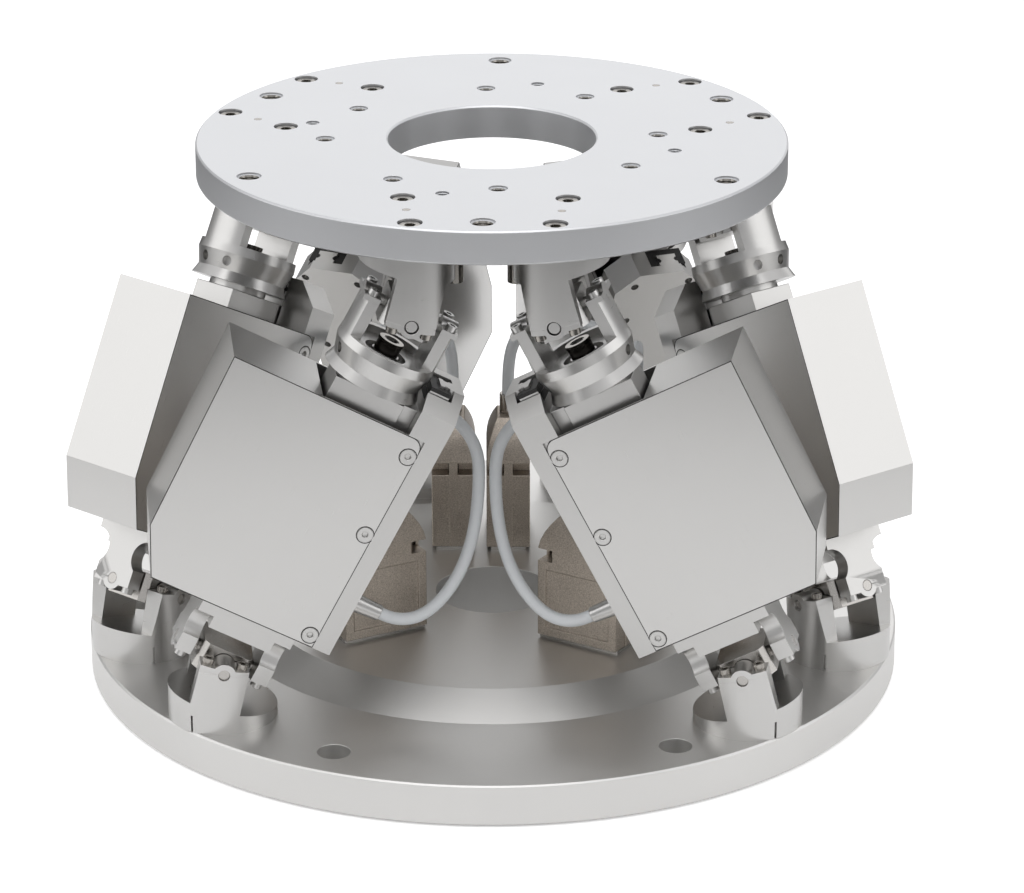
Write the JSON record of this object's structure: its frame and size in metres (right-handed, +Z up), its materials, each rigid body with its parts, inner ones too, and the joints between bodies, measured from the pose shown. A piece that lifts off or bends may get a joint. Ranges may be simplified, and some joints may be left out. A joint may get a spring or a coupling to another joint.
{
  "type": "hexapod positioning stage",
  "caption": "Parallel positioning stage: round platform carried by telescopic struts on cardan joints over a round base plate with cable connectors.",
  "frame": {"origin": "centre of the base plate's hole in the plane of its underside", "axes": "+Z up through base and platform, -Y towards the front pair of struts, +X to the right seen from the front"},
  "size_m": [0.286, 0.2865, 0.1885],
  "materials": {
    "base_aluminium": "satin anodised",
    "plate_aluminium": "satin anodised",
    "joint_steel": "turned and milled steel",
    "cross_steel": "ground steel",
    "strut_steel": "milled, fine grain",
    "cover_sheet": "brushed sheet",
    "screw_steel": "bright steel",
    "nickel": "nickel plated casting",
    "drive_steel": "hidden drive parts",
    "cable_jacket": "smooth white jacket"
  },
  "bodies": {
    "base": {"base_plate": "base_aluminium", "base_forks": "joint_steel", "base_fork_caps": "joint_steel", "base_screws": "screw_steel", "connector_sockets": "nickel", "connector_hoods": "nickel", "cable_ferrules": "screw_steel", "signal_cables": "cable_jacket"},
    "platform": {"top_plate": "plate_aluminium", "platform_forks": "joint_steel", "platform_fork_caps": "joint_steel", "platform_screws": "screw_steel"},
    "strut_1": {"strut_1_frame": "strut_steel", "strut_1_cover": "cover_sheet", "strut_1_fork": "joint_steel", "strut_1_cross": "cross_steel", "strut_1_drive": "drive_steel", "strut_1_fittings": "screw_steel"},
    "rod_1": {"rod_1_joint": "joint_steel", "rod_1_block": "strut_steel"},
    "strut_2": {"strut_2_frame": "strut_steel", "strut_2_cover": "cover_sheet", "strut_2_fork": "joint_steel", "strut_2_cross": "cross_steel", "strut_2_drive": "drive_steel", "strut_2_fittings": "screw_steel"},
    "rod_2": {"rod_2_joint": "joint_steel", "rod_2_block": "strut_steel"},
    "strut_3": {"strut_3_frame": "strut_steel", "strut_3_cover": "cover_sheet", "strut_3_fork": "joint_steel", "strut_3_cross": "cross_steel", "strut_3_drive": "drive_steel", "strut_3_fittings": "screw_steel"},
    "rod_3": {"rod_3_joint": "joint_steel", "rod_3_block": "strut_steel"},
    "strut_4": {"strut_4_frame": "strut_steel", "strut_4_cover": "cover_sheet", "strut_4_fork": "joint_steel", "strut_4_cross": "cross_steel", "strut_4_drive": "drive_steel", "strut_4_fittings": "screw_steel"},
    "rod_4": {"rod_4_joint": "joint_steel", "rod_4_block": "strut_steel"},
    "strut_5": {"strut_5_frame": "strut_steel", "strut_5_cover": "cover_sheet", "strut_5_fork": "joint_steel", "strut_5_cross": "cross_steel", "strut_5_drive": "drive_steel", "strut_5_fittings": "screw_steel"},
    "rod_5": {"rod_5_joint": "joint_steel", "rod_5_block": "strut_steel"},
    "strut_6": {"strut_6_frame": "strut_steel", "strut_6_cover": "cover_sheet", "strut_6_fork": "joint_steel", "strut_6_cross": "cross_steel", "strut_6_drive": "drive_steel", "strut_6_fittings": "screw_steel"},
    "rod_6": {"rod_6_joint": "joint_steel", "rod_6_block": "strut_steel"}
  },
  "joints": [
    {"name": "platform_lift", "type": "slide", "parent": "base", "child": "platform", "axis": [0, 0, 1], "range_m": [-0.0095, 0.0095], "deforming": ["signal_cables"]},
    {"name": "strut_1_swing", "type": "hinge", "parent": "base", "child": "strut_1", "pos_m": [-0.08747, -0.08747, 0.0358], "axis": [0.1399, -0.9902, 0], "range_deg": [-1.95, 1.95], "deforming": ["signal_cables"]},
    {"name": "rod_1_stroke", "type": "slide", "parent": "strut_1", "child": "rod_1", "axis": [0.4672, 0.066, 0.8817], "range_m": [-0.0085, 0.0085]},
    {"name": "strut_2_swing", "type": "hinge", "parent": "base", "child": "strut_2", "pos_m": [0.08747, -0.08747, 0.0358], "axis": [0.1399, 0.9902, 0], "range_deg": [-1.95, 1.95], "deforming": ["signal_cables"]},
    {"name": "rod_2_stroke", "type": "slide", "parent": "strut_2", "child": "rod_2", "axis": [-0.4672, 0.066, 0.8817], "range_m": [-0.0085, 0.0085]},
    {"name": "strut_3_swing", "type": "hinge", "parent": "base", "child": "strut_3", "pos_m": [0.11948, -0.03202, 0.0358], "axis": [0.7876, 0.6162, 0], "range_deg": [-1.95, 1.95], "deforming": ["signal_cables"]},
    {"name": "rod_3_stroke", "type": "slide", "parent": "strut_3", "child": "rod_3", "axis": [-0.2907, 0.3716, 0.8817], "range_m": [-0.0085, 0.0085]},
    {"name": "strut_4_swing", "type": "hinge", "parent": "base", "child": "strut_4", "pos_m": [0.03202, 0.11948, 0.0358], "axis": [-0.9274, -0.374, 0], "range_deg": [-1.95, 1.95], "deforming": ["signal_cables"]},
    {"name": "rod_4_stroke", "type": "slide", "parent": "strut_4", "child": "rod_4", "axis": [0.1764, -0.4376, 0.8817], "range_m": [-0.0085, 0.0085]},
    {"name": "strut_5_swing", "type": "hinge", "parent": "base", "child": "strut_5", "pos_m": [-0.03202, 0.11948, 0.0358], "axis": [-0.9274, 0.374, 0], "range_deg": [-1.95, 1.95], "deforming": ["signal_cables"]},
    {"name": "rod_5_stroke", "type": "slide", "parent": "strut_5", "child": "rod_5", "axis": [-0.1764, -0.4376, 0.8817], "range_m": [-0.0085, 0.0085]},
    {"name": "strut_6_swing", "type": "hinge", "parent": "base", "child": "strut_6", "pos_m": [-0.11948, -0.03202, 0.0358], "axis": [0.7876, -0.6162, 0], "range_deg": [-1.95, 1.95], "deforming": ["signal_cables"]},
    {"name": "rod_6_stroke", "type": "slide", "parent": "strut_6", "child": "rod_6", "axis": [0.2907, 0.3716, 0.8817], "range_m": [-0.0085, 0.0085]}
  ],
  "couplings": [
    {"joint": "strut_1_swing", "follows": "platform_lift", "rad_per_m": 3.5254},
    {"joint": "rod_1_stroke", "follows": "platform_lift", "ratio": 0.8817},
    {"joint": "strut_2_swing", "follows": "platform_lift", "rad_per_m": 3.5254},
    {"joint": "rod_2_stroke", "follows": "platform_lift", "ratio": 0.8817},
    {"joint": "strut_3_swing", "follows": "platform_lift", "rad_per_m": 3.5254},
    {"joint": "rod_3_stroke", "follows": "platform_lift", "ratio": 0.8817},
    {"joint": "strut_4_swing", "follows": "platform_lift", "rad_per_m": 3.5254},
    {"joint": "rod_4_stroke", "follows": "platform_lift", "ratio": 0.8817},
    {"joint": "strut_5_swing", "follows": "platform_lift", "rad_per_m": 3.5254},
    {"joint": "rod_5_stroke", "follows": "platform_lift", "ratio": 0.8817},
    {"joint": "strut_6_swing", "follows": "platform_lift", "rad_per_m": 3.5254},
    {"joint": "rod_6_stroke", "follows": "platform_lift", "ratio": 0.8817}
  ]
}
